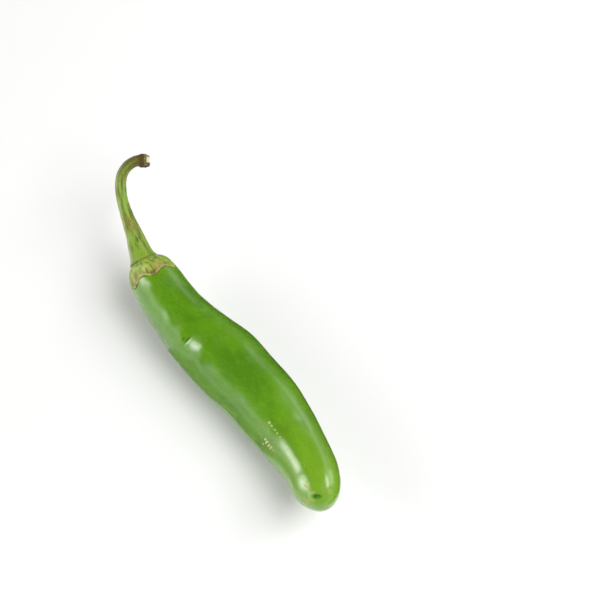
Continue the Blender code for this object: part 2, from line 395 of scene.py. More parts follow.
podLook = {
    "rings": 290, "around": 200, "endCrowd": 0.6,
    # more rings at the calyx rim and at the fold: from, to, how many
    "moreRings": ((4.6, 8.2, 40), (24.6, 27.4, 22)),
    "clearOfRim": (0.4, 2.0),  # the unevenness starts that far past the rim and grows over that
    "unevenness": 0.045, "unevenLengths": (26.0, 15.0, 9.0), "unevenSeed": 11,
    "ripple": 0.020, "rippleLengths": (6.0, 4.2), "rippleSeed": 12,
    "neckRipple": (20.0, 13.0, 1.2),  # middle, reach, how much more
    "calmTip": (66.0, 10.0, 0.7),  # the tip is smoother: from, over that length, by that share
    # distance, angle, reach, spread in degrees below and above that angle, height
    "creases": (
        (25.9, 110.0, 2.6, 26.0, 26.0, -0.50), (30.9, 104.0, 3.0, 26.0, 28.0, 0.50),
        (8.4, 108.0, 2.0, 25.0, 16.0, 0.24),
    ),
    # thin fold strokes, same columns as the creases; their share also paints shade into the strokes
    "folds": ((26.15, 126.0, 0.45, 10.0, 10.0, -0.15), (25.2, 131.0, 0.32, 5.0, 5.0, -0.07)),
    "scar": {
        "at": (87.0, 117.0), "across": 1.55, "along": 0.70, "depth": 0.42,
        "lip": 0.06, "lipAt": 1.7, "lipReach": 0.55, "lipSide": 0.3,
    },
    "colours": {
        "deep": (0.058, 0.180, 0.0010), "fresh": (0.094, 0.254, 0.0016),
        "pale": (0.190, 0.365, 0.018), "cork": (0.42, 0.31, 0.11),
        "scarGreen": (0.026, 0.112, 0.001), "lipGreen": (0.330, 0.450, 0.130),
        # painted shade for the thin fold strokes, darker than the skin itself
        "paintedFoldShade": (0.012, 0.045, 0.002),
    },
    # scale or stretch, detail, roughness, distortion
    "noises": {
        "blotch": ((0.06, 0.10, 0.10), 3.0, 0.55, 0.6), "mottle": ((0.30, 0.5, 0.5), 4.0, 0.6),
        "streaks": ((0.07, 0.55, 0.55), 3.0, 0.55, 0.3), "ragged": (1.9, 3.0, 0.7),
        "fine": ((1.6, 2.2, 2.2), 2.0, 0.5),
    },
    "ground": "deep",
    "layers": (
        ("fresh", ("blotch", 0.34, 0.64)),
        ("pale", ("mottle", 0.42, 0.80, 0.0, 0.20)),
        ("pale", ("streaks", 0.48, 0.75, 0.0, 0.08)),
        ("pale", ("along", 12.0, 5.0, 0.0, 0.30)),
        # paler towards the tip: partly the pod's own lighter tone, partly painted bounce light from
        # the floor
        ("pale", ("along", 50.0, 86.0, 0.0, 0.68)),
        ("cork", ("stains",)),
        ("lipGreen", ("lip", 0.2, 0.9, 0.0, 0.6)),
        ("scarGreen", ("scar", 0.36, 0.66)),
        # painted shade in the thin fold strokes
        ("paintedFoldShade", ("fold", 0.35, 0.95, 0.0, 0.85)),
    ),
    # distance, angle, size, strength
    "stains": (
        (83.9, 130.0, (0.9, 0.6, 0.6), 0.30), (86.1, 176.0, (0.7, 0.9, 0.9), 0.45),
        (85.9, 51.0, (0.5, 0.5, 0.5), 0.25), (28.0, 181.0, (0.5, 0.4, 0.4), 0.5),
    ),
    "stainSoft": 0.35,
    "bumps": (("mottle", 0.08, 0.4), ("fine", 0.06, 0.1), ("stains", 0.25, 0.1)),
    "roughness": ("mottle", 0.3, 0.8, 0.22, 0.34), "dullScar": ("scar", 0.25, 0.60),
    "dullness": 0.35, "coat": 0.62, "coatInScar": 0.1,
    "surface": {
        "Specular IOR Level": 0.85, "Coat Roughness": 0.18, "Subsurface Weight": 0.15,
        "Subsurface Radius": (0.8, 1.0, 0.3), "Subsurface Scale": 0.0015,
    },
}


def podFloor(steps=700, below=270.0):
    distance = np.linspace(0.0, podShape["length"], steps)
    angle = np.full(steps, math.radians(below))
    belly = aroundAxis(distance, angle, podHalf(distance, angle))
    return belly[:, 2].min() + podShape["bellyCut"]


floorHeight = podFloor()


def unevenHalf(distance, angle, half):  # how far the skin rises and falls in slow waves and ripples
    look = podLook
    plain = straightPlace(distance, angle, half)
    neckAt, neckReach, neckMore = look["neckRipple"]
    ripple = look["ripple"] * (1 + neckMore * np.exp(-((distance - neckAt) / neckReach) ** 2))
    calmFrom, calmOver, calmShare = look["calmTip"]
    ripple = ripple * (1 - calmShare * smoothStep((distance - calmFrom) / calmOver))
    return (
        waves(plain, look["unevenSeed"], look["unevenLengths"], look["unevenness"])
        + waves(plain, look["rippleSeed"], look["rippleLengths"], 1.0) * ripple
    )


def sinkScar(points):  # presses the scar in, and gives the shares of its pit and its pale lip
    scar = podLook["scar"]
    at = (np.array([scar["at"][0]]), np.radians([scar["at"][1]]))
    middle = aroundAxis(*at, podHalf(*at))[0]
    inward = axisFrame(np.array([podShape["length"] - podShape["tipRound"]]))[0][0] - middle
    inward /= np.linalg.norm(inward)
    across = (points - middle) @ axisFrame(at[0])[2][0]
    along = np.sum((points - middle) ** 2, axis=-1) - across ** 2
    along = np.sqrt(np.maximum(along, 0.0))
    far = np.sqrt((across / scar["across"]) ** 2 + (along / scar["along"]) ** 2)
    pit = np.exp(-far ** 2)
    lip = np.exp(-((far - scar["lipAt"]) / scar["lipReach"]) ** 2)
    sink = scar["depth"] * pit - scar["lip"] * lip
    paleLip = lip * smoothStep(scar["lipSide"] - across / scar["across"])
    return points + sink[..., None] * inward, pit, paleLip


def podSurface(distance, angle):
    half = podHalf(distance, angle)
    clear, grows = podLook["clearOfRim"]
    free = smoothStep((distance - rimDistance(angle) - clear) / grows)
    half = half + free * roundEnd(distance) * unevenHalf(distance, angle, half)
    # the fold strokes' share is kept to paint shade into them
    fold = np.zeros_like(half)
    for dents, isFold in ((podLook["creases"], False), (podLook["folds"], True)):
        for place, atAngle, reach, below, above, height in dents:
            turned = turnedBy(angle, atAngle)
            turned = turned / np.where(turned < 0, below, above)
            share = np.exp(-((distance - place) / reach) ** 2 - turned ** 2)
            half = half + free * height * share
            if isFold:
                fold = np.maximum(fold, share)
    points, pit, lip = sinkScar(aroundAxis(distance, angle, half))
    points = flattenBelly(points, floorHeight)
    return points, straightPlace(distance, angle, half), {"scar": pit, "fold": fold, "lip": lip}


def makePod():
    rings, around, crowd = podLook["rings"], podLook["around"], podLook["endCrowd"]
    top = podShape["calyxWall"] + podShape["seatGap"]
    share = (1 - np.cos(np.linspace(0.0, math.pi, rings + 2))) / 2
    share = crowd * share + (1 - crowd) * np.linspace(0.0, 1.0, rings + 2)
    distance = top + (podShape["length"] - top) * share
    more = [np.linspace(*row) for row in podLook["moreRings"]]
    distance = np.sort(np.concatenate([distance, *more]))
    angle = 2 * math.pi * np.arange(around) / around
    points, place, shares = podSurface(*np.meshgrid(distance[1:-1], angle, indexing="ij"))
    ends, endPlaces, endShares = podSurface(distance[[0, -1]], np.zeros(2))
    rings = len(distance) - 2
    faces = gridFaces(rings, around, rings * around, rings * around + 1)
    points = np.vstack([points.reshape(-1, 3), ends])
    piece = makePiece("podSkin", points, faces, np.vstack([place.reshape(-1, 3), endPlaces]))
    for name, values in shares.items():
        storeShare(piece, name, np.concatenate([values.ravel(), endShares[name]]))
    return piece


def podMaterial():
    look = podLook
    material, tree, shader = newMaterial("podSkin")
    place = stored(tree, "place", 1)
    values = addNoises(tree, look, place)
    values.update({name: stored(tree, name) for name in ("scar", "fold", "lip")})
    values["along"] = result(tree, "ShaderNodeSeparateXYZ", {0: place})
    values["stains"] = stainMask(
        tree, place, look["stains"], podHalf, values["ragged"], look["stainSoft"]
    )
    inScar = maskOf(tree, values, [look["dullScar"]])
    dull = times(tree, maths(tree, "MAXIMUM", values["stains"], inScar), look["dullness"])
    rough = maths(tree, "ADD", maskOf(tree, values, [look["roughness"]]), dull)
    setSurface(tree, shader, look, values, rough)
    coat = spread(tree, inScar, 0.0, 1.0, look["coat"], look["coatInScar"])
    setInputs(tree, shader, {"Coat Weight": coat})
    return material


podSkin = makePod()
podSkin.data.materials.append(podMaterial())
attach(podSkin, "root")
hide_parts("pod")
print("pod made")


# corky flakes that follow lines on the skin, and fine pores all over it
marksLook = {
    # name, kind, line on the skin as (distance, angle),
    # then spacing, flake length, width, height, turn, size at the end, seed
    "lines": (
        ("corkDots", "dot", ((59.5, 119.7), (61.6, 121.0), (65.0, 121.4)),
            1.10, 0.80, 0.72, 0.13, 0.0, 0.60, 3),
        ("corkSpecks", "dot", ((66.2, 122.3), (68.7, 121.6), (72.5, 121.0)),
            1.1, 0.30, 0.22, 0.05, 0.0, 0.6, 5),
        ("corkDashes", "pale", ((63.1, 150.0), (64.4, 151.3), (66.2, 152.3)),
            0.80, 0.62, 2.00, 0.16, 0.0, 0.30, 8),
        ("corkSpots", "pale", ((62.0, 146.0), (62.3, 159.0)),
            1.70, 0.80, 0.85, 0.13, 0.0, 0.30, 2),
        ("corkScratch", "dot", ((45.4, 166.6), (47.6, 164.6), (49.9, 162.2)),
            0.52, 0.56, 0.32, 0.08, 8.0, 0.7, 4),
        ("corkRing", "cork",
            ((85.5, 52.0), (85.8, 58.0), (86.2, 58.0), (86.4, 50.0), (86.1, 43.0), (85.7, 45.0)),
            0.42, 0.42, 0.20, 0.06, 0.0, 1.0, 6),
        ("corkStreaks", "cork", ((83.6, 134.0), (83.8, 129.0), (83.7, 122.0)),
            0.62, 0.34, 1.50, 0.10, 35.0, 0.8, 9),
    ),
    "lineSteps": 60, "jitter": 0.14, "flakeFaces": 8, "flakeRings": 5, "flakeSizes": (0.75, 1.2),
    # darker and lighter colour of each kind of flake
    "colours": {
        "cork": ((0.40, 0.32, 0.11), (0.55, 0.47, 0.21)),
        "dot": ((0.30, 0.42, 0.075), (0.42, 0.53, 0.14)),
        "pale": ((0.50, 0.46, 0.18), (0.68, 0.63, 0.33)),
        "pore": ((0.26, 0.40, 0.08), (0.26, 0.40, 0.08)),
    },
    "flake": {
        "noises": {"flecks": (2600.0, 3.0, 0.6)}, "ground": "darker",
        "layers": (("lighter", ("flecks", 0.35, 0.65)),), "bumps": (("flecks", 0.4, 0.05),),
        "roughness": 0.6, "surface": {"Specular IOR Level": 0.3},
    },
    "poreSpacing": 2.6, "poreDensity": 0.035, "poreSize": 0.26, "poreHeight": 0.035,
    "poreLowest": 1.0, "poreSeed": 12,
}


def marksMaterial(name, darker, lighter):
    look = {**marksLook["flake"], "colours": {"darker": darker, "lighter": lighter}}
    material, tree, shader = newMaterial(name)
    values = addNoises(tree, look, result(tree, "ShaderNodeTexCoord", {}, "Object"))
    setSurface(tree, shader, look, values, look["roughness"])
    return material


def flakeOnPoints(group, get, points, rotation, endSize):
    ball = {"Segments": get["Flake faces"], "Rings": marksLook["flakeRings"], "Radius": 0.5}
    flake = result(group, "GeometryNodeMeshUVSphere", ball)
    least, most = marksLook["flakeSizes"]
    change = result(
        group, "FunctionNodeRandomValue", {2: least, 3: most, "Seed": get["Seed"]}, 1,
        data_type="FLOAT",
    )
    size = result(
        group, "ShaderNodeCombineXYZ", {0: get["Length"], 1: get["Width"], 2: get["Height"]}
    )
    size = vectorMaths(group, "SCALE", {0: size, "Scale": times(group, change, endSize)})
    inputs = {"Points": points, "Instance": flake, "Rotation": rotation, "Scale": size}
    return result(group, "GeometryNodeInstanceOnPoints", inputs)


def lineTree(material):
    group, keys, get, made = newGroup("corkLine", (
        ("Geometry", ("Line",)), ("Object", ("Skin",)),
        ("Float", ("Spacing", "Length", "Width", "Height", "Turn", "End size", "Jitter")),
        ("Int", ("Flake faces", "Seed")),
    ))
    points = addNode(
        group, "GeometryNodeCurveToPoints", {"Curve": get["Line"], "Length": get["Spacing"]},
        mode="LENGTH",
    )
    tangent, points = points.outputs["Tangent"], points.outputs[0]
    skin = result(group, "GeometryNodeObjectInfo", {"Object": get["Skin"]}, "Geometry")
    shake = result(
        group, "FunctionNodeRandomValue",
        {0: (-1.0, -1.0, -1.0), 1: (1.0, 1.0, 1.0), "Seed": get["Seed"]},
        data_type="FLOAT_VECTOR",
    )
    shake = vectorMaths(group, "SCALE", {0: shake, "Scale": get["Jitter"]})
    moved = result(group, "GeometryNodeSetPosition", {"Geometry": points, "Offset": shake})
    near = result(group, "GeometryNodeProximity", {0: skin}, "Position", target_element="FACES")
    laid = result(group, "GeometryNodeSetPosition", {"Geometry": moved, "Position": near})
    outward = result(
        group, "GeometryNodeSampleNearestSurface",
        {"Mesh": skin, "Value": result(group, "GeometryNodeInputNormal", {})},
        data_type="FLOAT_VECTOR",
    )
    turn = result(group, "FunctionNodeAlignRotationToVector", {"Vector": tangent}, axis="X")
    turn = result(
        group, "FunctionNodeAlignRotationToVector", {"Rotation": turn, "Vector": outward},
        axis="Z", pivot_axis="X",
    )
    local = result(group, "ShaderNodeCombineXYZ", {2: get["Turn"]})
    local = result(group, "FunctionNodeEulerToRotation", {0: local})
    turn = result(
        group, "FunctionNodeRotateRotation", {"Rotation": turn, "Rotate By": local},
        rotation_space="LOCAL",
    )
    count = result(
        group, "GeometryNodeAttributeDomainSize", {0: points}, component="POINTCLOUD"
    )
    share = maths(group, "DIVIDE", result(group, "GeometryNodeInputIndex", {}), count)
    endSize = spread(group, share, 0.0, 1.0, 1.0, get["End size"], "LINEAR")
    finishGroup(group, flakeOnPoints(group, get, laid, turn, endSize), material, made)
    return group, keys


def poreTree(material):
    group, keys, get, made = newGroup("poreScatter", (
        ("Geometry", ("Skin",)),
        ("Float", ("Spacing", "Density", "Lowest", "Length", "Width", "Height")),
        ("Int", ("Flake faces", "Seed")),
    ))
    height = result(group, "GeometryNodeInputPosition", {})
    height = result(group, "ShaderNodeSeparateXYZ", {0: height}, 2)
    clear = result(
        group, "FunctionNodeCompare", {0: height, 1: get["Lowest"]}, operation="GREATER_THAN"
    )
    points = addNode(
        group, "GeometryNodeDistributePointsOnFaces",
        {"Mesh": get["Skin"], "Selection": clear, "Distance Min": get["Spacing"],
         "Density Max": get["Density"], "Seed": get["Seed"]},
        distribute_method="POISSON",
    )
    flakes = flakeOnPoints(group, get, points.outputs[0], points.outputs["Rotation"], 1.0)
    finishGroup(group, flakes, material, made)
    return group, keys


def skinLine(name, stations):
    index = np.arange(len(stations))
    along = np.linspace(0.0, len(stations) - 1.0, marksLook["lineSteps"])
    distance, angle = (np.interp(along, index, values) for values in np.array(stations).T)
    return makeLine(name + "Line", podSurface(distance, np.radians(angle))[0])


def makeMarks():
    look = marksLook
    trees = {
        kind: lineTree(marksMaterial(kind + "Flake", *look["colours"][kind]))
        for kind in ("cork", "dot", "pale")
    }
    pieces = []
    for name, kind, stations, spacing, length, width, height, turn, endSize, seed in look["lines"]:
        pieces.append(bakeNodes(name, skinLine(name, stations), trees[kind], {
            "Skin": podSkin, "Spacing": spacing * mm, "Length": length * mm, "Width": width * mm,
            "Height": height * mm, "Turn": math.radians(turn), "End size": endSize,
            "Jitter": look["jitter"] * spacing * mm, "Flake faces": look["flakeFaces"],
            "Seed": seed,
        }))
    skinCopy = addObject("skinCopy", podSkin.data.copy())
    pores = poreTree(marksMaterial("skinPore", *look["colours"]["pore"]))
    pieces.append(bakeNodes("skinPores", skinCopy, pores, {
        "Spacing": look["poreSpacing"] * mm, "Density": look["poreDensity"] / mm ** 2,
        "Length": look["poreSize"] * mm, "Width": look["poreSize"] * mm,
        "Height": look["poreHeight"] * mm, "Lowest": look["poreLowest"] * mm,
        "Flake faces": look["flakeFaces"], "Seed": look["poreSeed"],
    }))
    return pieces


for piece in makeMarks():
    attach(piece, "root")
print("skin marks made")


calyxLook = {
    "around": 240, "rowsSeat": 4, "rowsOut": 46, "rowsLip": 7, "rowsIn": 20,
    "rimCrowd": 1.25, "deepest": 0.999, "innerBlend": 0.25, "innerLeast": 0.3,
    "rimBack": 0.08, "rimThin": 0.02,
    # the worn edge: share, how many round the rim, shift
    "nibble": 0.16, "nibbles": ((0.5, 11, 0.4), (0.35, 23, 2.0), (0.25, 37, 1.1)),
    "wornAt": 125.0, "wornReach": 50.0, "wornLeast": 0.35,
    "ribs": 0.12, "ribPower": 3, "ribFrom": 0.3, "ribFade": (1.12, 0.5),
    "fineRibs": 0.045, "fineRibCount": 31, "fineRibSway": (2.0, 3), "fineRibFade": 0.4,
    "rimRise": (0.05, 0.95, 0.07), "rimGroove": (-0.05, 0.80, 0.09),  # height, place, reach
    "wrinkles": ((21, (2.6, 1.7), 0.07), (22, (1.0, 0.7), 0.0245)),  # seed, lengths, height
    "wrinkleFrom": 0.2,
    "colours": {
        "leaf": (0.160, 0.240, 0.025), "leafPale": (0.350, 0.440, 0.082),
        "tan": (0.290, 0.215, 0.062), "olive": (0.080, 0.075, 0.014),
        "brown": (0.085, 0.050, 0.018), "lip": (0.420, 0.370, 0.150),
        "edge": (0.110, 0.075, 0.020),
    },
    "noises": {
        "blotch": ((0.28, 0.42, 0.42), 4.0, 0.6, 0.4), "fibre": ((0.30, 1.1, 1.1), 4.0, 0.6),
        "speck": (1.5, 3.0, 0.65),
    },
    "ground": "leaf",
    "layers": (
        ("leafPale", ("fibre", 0.38, 0.62)),
        ("tan", ("corky", 0.85)),
        ("olive", ("fibre", 0.46, 0.36), ("speck", 0.42, 0.60, 0.0, 0.45)),
        ("brown", ("brown", 0.9)),
        ("olive", ("along", 1.05, 0.80), ("speck", 0.42, 0.56, 0.0, 0.75)),
        ("lip", ("rim", 0.90, 0.95, 0.0, 0.45), ("notBrown",)),
        ("edge", ("rim", 0.975, 0.999, 0.0, 0.65), ("speck", 0.38, 0.56, 0.35, 1.0)),
    ),
    "corkyRim": 0.25, "corkyBlotch": 0.80, "corky": (0.60, 0.80, 0.0, 0.6),
    # distance, angle, size, strength of the dark patches
    "brownPatches": (
        (5.6, 98.0, (0.8, 0.8, 0.8), 0.75), (4.5, 109.0, (1.1, 0.35, 0.35), 0.7),
        (5.4, 163.0, (1.1, 0.45, 0.45), 0.7), (6.3, 151.0, (1.2, 0.50, 0.50), 1.0),
        (4.0, 146.0, (1.2, 0.30, 0.30), 0.5), (5.3, 76.0, (0.7, 0.30, 0.30), 0.55),
        (5.2, 230.0, (1.0, 0.5, 0.5), 0.6), (5.0, 318.0, (0.9, 0.5, 0.5), 0.6),
    ),
    # and of the corky ones
    "corkyPatches": (
        (5.2, 84.0, (1.3, 0.8, 0.8), 1.0), (3.9, 71.0, (1.2, 1.0, 1.0), 0.9),
        (4.4, 104.0, (1.0, 0.6, 0.6), 0.7), (4.2, 138.0, (1.5, 0.7, 0.7), 0.95),
        (4.7, 120.0, (1.0, 0.6, 0.6), 0.6), (4.6, 162.0, (1.3, 0.8, 0.8), 0.7),
        (4.8, 215.0, (1.4, 1.0, 1.0), 0.8), (4.4, 290.0, (1.5, 1.1, 1.1), 0.8),
        (4.9, 340.0, (1.2, 1.0, 1.0), 0.7),
    ),
    "patchSoft": 0.5,
    "roughness": ("corky", 0.0, 1.0, 0.42, 0.75),
    "bumps": (("fibre", 0.35, 0.15), ("speck", 0.35, 0.1)),
    "surface": {
        "Subsurface Weight": 0.08, "Subsurface Radius": (0.8, 1.0, 0.3),
        "Subsurface Scale": 0.0006,
    },
}


def makeCalyx():
    look = calyxLook
    around, rowsOut, rowsIn = look["around"], look["rowsOut"], look["rowsIn"]
    angle = 2 * math.pi * np.arange(around) / around
    worn = np.exp(-(turnedBy(angle, look["wornAt"]) / look["wornReach"]) ** 2)
    worn = look["wornLeast"] + (1 - look["wornLeast"]) * worn
    nibble = sum(share * np.sin(count * angle + shift) for share, count, shift in look["nibbles"])
    rim = rimDistance(angle) - look["rimBack"] + look["nibble"] * worn * nibble
    collarHalf = podShape["halfWidths"][0][1]
    wall = podShape["calyxWall"]
    sway, swayCount = look["fineRibSway"]
    fineRib = np.sin(look["fineRibCount"] * angle + sway * np.sin(swayCount * angle))
    rib = np.cos(podShape["lobes"] * (angle - math.radians(podShape["lobeAt"])))
    rib = look["ribs"] * rib ** look["ribPower"]
    fadeAt, fadeOver = look["ribFade"]
    rows, places, shares = [], [], []

    def addRow(distance, half, rimShare):
        rows.append(aroundAxis(distance, angle, half))
        places.append(straightPlace(distance, angle, half))
        shares.append(np.full(around, rimShare))

    for i in range(look["rowsSeat"]):  # the seat under the stem
        share = (i + 1) / (look["rowsSeat"] + 1)
        addRow(np.zeros(around), np.full(around, collarHalf * share), 0.0)
    for i in range(rowsOut):
        t = i / (rowsOut - 1)
        distance = rim * t ** look["rimCrowd"]
        grown = smoothStep(t / look["ribFrom"])
        half = skinHalf(distance, angle) + rib * grown * smoothStep((fadeAt - t) / fadeOver)
        half = half + look["fineRibs"] * grown * fineRib * (1 - look["fineRibFade"] * t)
        for height, place, reach in (look["rimRise"], look["rimGroove"]):
            half = half + height * np.exp(-((t - place) / reach) ** 2)
        plain = straightPlace(distance, angle, half)
        wrinkle = sum(waves(plain, *numbers) for numbers in look["wrinkles"])
        half = half + smoothStep(t / look["wrinkleFrom"]) * wrinkle
        addRow(distance, half, t)
    outerHalf = half
    lipHalf = wall / 2 - look["rimThin"]
    for i in range(1, look["rowsLip"]):
        turn = math.pi * i / look["rowsLip"]
        half = outerHalf - lipHalf * (1 - math.cos(turn))
        addRow(rim + lipHalf * math.sin(turn), half, 1.0)
    innerStart = outerHalf - 2 * lipHalf
    for i in range(rowsIn):
        t = 1 - i / (rowsIn - 1) * look["deepest"]
        distance = wall + (rim - wall) * t ** look["rimCrowd"]
        inner = skinHalf(np.maximum(distance - wall, 0.0), angle) - wall
        blend = smoothStep((1 - t) / look["innerBlend"])
        half = innerStart * (1 - blend) + np.maximum(inner, look["innerLeast"]) * blend
        addRow(distance, half, 1.0)
    count = len(rows) * around
    poles = np.array([0.0, wall])
    points = np.vstack([*rows, axisFrame(poles)[0]])
    place = np.vstack([*places, straightPlace(poles, np.zeros(2), np.zeros(2))])
    faces = gridFaces(len(rows), around, count, count + 1)
    piece = makePiece("calyxCap", points, faces, place)
    storeShare(piece, "rimShare", np.concatenate([*shares, [0.0, 1.0]]))
    return piece


def calyxMaterial():
    look = calyxLook
    material, tree, shader = newMaterial("calyxLeaf")
    place = stored(tree, "place", 1)
    rim = stored(tree, "rimShare")
    values = addNoises(tree, look, place)

    def patches(name):
        speck, soft = values["speck"], look["patchSoft"]
        return stainMask(tree, place, look[name], skinHalf, speck, soft)

    corky = times(tree, values["blotch"], look["corkyBlotch"])
    corky = maths(tree, "ADD", times(tree, rim, look["corkyRim"]), corky)
    corky = spread(tree, corky, *look["corky"])
    brown = patches("brownPatches")
    values.update({
        "rim": rim, "along": result(tree, "ShaderNodeSeparateXYZ", {0: place}),
        "corky": maths(tree, "MAXIMUM", corky, patches("corkyPatches")),
        "brown": brown, "notBrown": maths(tree, "SUBTRACT", 1.0, brown),
    })
    setSurface(tree, shader, look, values, maskOf(tree, values, [look["roughness"]]))
    return material


calyxCap = makeCalyx()
calyxCap.data.materials.append(calyxMaterial())
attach(calyxCap, "root")
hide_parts("calyx")
print("calyx made")


stemLook = {
    "route": (
        (0.75, -0.1, -0.18), (-2.6, 0.33, 0.6), (-6.4, 1.2, 1.8), (-11.2, 2.1, 3.9),
        (-16.0, 3.4, 6.2), (-20.0, 5.8, 7.9), (-21.9, 8.8, 8.6), (-22.0, 11.9, 8.8),
        (-20.4, 14.9, 8.4),
    ),
    # distance from the foot, half width
    "halfWidths": (
        (0.0, 3.80), (0.8, 3.40), (2.3, 3.05), (4.8, 2.75), (7.8, 2.3), (10.5, 2.0),
        (13.2, 1.68), (16.3, 1.5), (19.8, 1.42), (28.8, 1.38), (31.3, 1.4), (32.4, 1.7),
        (33.4, 1.75), (34.4, 1.45),
    ),
    "points": 260, "around": 72, "ribs": 5, "ribHeight": 0.10, "twist": 0.9,
    "ridgeAt": 178.0, "ridgeHeight": 0.10, "ridgePower": 4.0, "footFlare": 0.55, "flareTo": 0.14,
    "wrinkle": 0.05, "wrinkleScale": 0.9, "wrinkleDetail": 3.0, "seed": 7,
    # how many times the wrinkles grow on the body and at the ends, and where the ends start
    "bodyRough": 4.0, "endRough": 20.0, "endFrom": (0.90, 0.96), "footFrom": (0.07, 0.02),
    "colours": {
        "green": (0.192, 0.318, 0.040), "base": (0.180, 0.300, 0.026),
        "ridge": (0.330, 0.400, 0.140), "olive": (0.078, 0.090, 0.012),
        "tan": (0.200, 0.150, 0.030), "dry": (0.080, 0.050, 0.014),
        # the pith colour is partly the cream pith, partly a painted highlight at the broken end
        "bark": (0.250, 0.210, 0.090), "pithAndHighlight": (0.620, 0.560, 0.380),
        # partly dark marks, partly painted shade under the broken end
        "darkMarksAndShade": (0.020, 0.014, 0.008),
    },
    "straightLength": 34.0,
    "noises": {
        "fibre": ((0.16, 2.6, 2.6), 4.0, 0.6, 0.2), "patch": ((0.22, 0.8, 0.8), 3.0, 0.6),
        "speck": ((1.6, 3.5, 3.5), 3.0, 0.7),
    },
    # angles round the stem that some layers lie towards
    "sides": {"front": 250.0, "crest": 186.0, "footSide": 205.0, "pithAndHighlightSide": 262.0, "back": 40.0},
    "footRagged": 0.05,
    "ground": "green",
    "layers": (
        ("base", ("along", 0.26, 0.06)),
        ("ridge", ("rib", 0.1, 0.95, 0.0, 0.15)),
        ("olive", ("fibre", 0.46, 0.60), ("along", 0.02, 0.16, 0.25, 0.85)),
        ("tan", ("along", 0.24, 0.29), ("along", 0.41, 0.36), ("front", 0.1, 0.8),
            ("speck", 0.40, 0.60, 0.15, 0.95)),
        ("tan", ("patch", 0.56, 0.72, 0.0, 0.45)),
        ("ridge", ("crest", 0.72, 0.98), ("fibre", 0.60, 0.45, 0.45, 0.9)),
        ("dry", ("along", 0.62, 0.88, 0.0, 0.72, "LINEAR"), ("speck", 0.30, 0.60, 0.80, 1.15)),
        ("dry", ("speck", 0.56, 0.66), ("along", 0.55, 0.80, 0.25, 0.9)),
        ("olive", ("foot", 0.020, 0.004, 0.0, 0.85), ("footSide", 0.2, 0.85, 0.35, 1.0)),
        ("dry", ("along", 0.89, 0.93)),
        ("bark", ("along", 0.945, 0.965), ("speck", 0.42, 0.60)),
        # cream pith with a painted highlight on one side of the broken end
        ("pithAndHighlight", ("along", 0.968, 0.982), ("pithAndHighlightSide", 0.80, 0.95)),
        # dark marks with painted shade on the back of the stem's broken end
        ("darkMarksAndShade", ("along", 0.940, 0.965), ("back", 0.2, 0.6), ("speck", 0.40, 0.52)),
    ),
    "roughness": ("fibre", 0.3, 0.7, 0.42, 0.62),
    "bumps": (("fibre", 0.4, 0.2), ("speck", 0.3, 0.1)),
    "surface": {"Specular IOR Level": 0.3},
}


def routePoints(route, count, perSpan=40):  # evenly spaced points on a smooth curve
    route = np.array(route)
    ends = np.vstack([2 * route[0] - route[1], route, 2 * route[-1] - route[-2]])
    made = []
    for i in range(len(route) - 1):
        a, b, c, d = ends[i : i + 4]
        for t in np.linspace(0.0, 1.0, perSpan, endpoint=False):
            bend = (2 * a - 5 * b + 4 * c - d) * t ** 2 + (3 * b - a - 3 * c + d) * t ** 3
            made.append(0.5 * (2 * b + (c - a) * t + bend))
    made = np.vstack([made, route[-1]])
    steps = np.linalg.norm(np.diff(made, axis=0), axis=1)
    length = np.concatenate([[0.0], np.cumsum(steps)])
    distance = np.linspace(0.0, length[-1], count)
    points = np.stack([np.interp(distance, length, made[:, k]) for k in range(3)], axis=1)
    return points, distance


def keepFactor(group, curve, name):  # the curve with its own factor kept on it, and that factor
    kept = addNode(group, "GeometryNodeCaptureAttribute", {}, domain="POINT")
    kept.capture_items.new("FLOAT", name)
    factor = result(group, "GeometryNodeSplineParameter", {}, "Factor")
    setInputs(group, kept, {0: curve, 1: factor})
    return kept.outputs[0], kept.outputs[1]


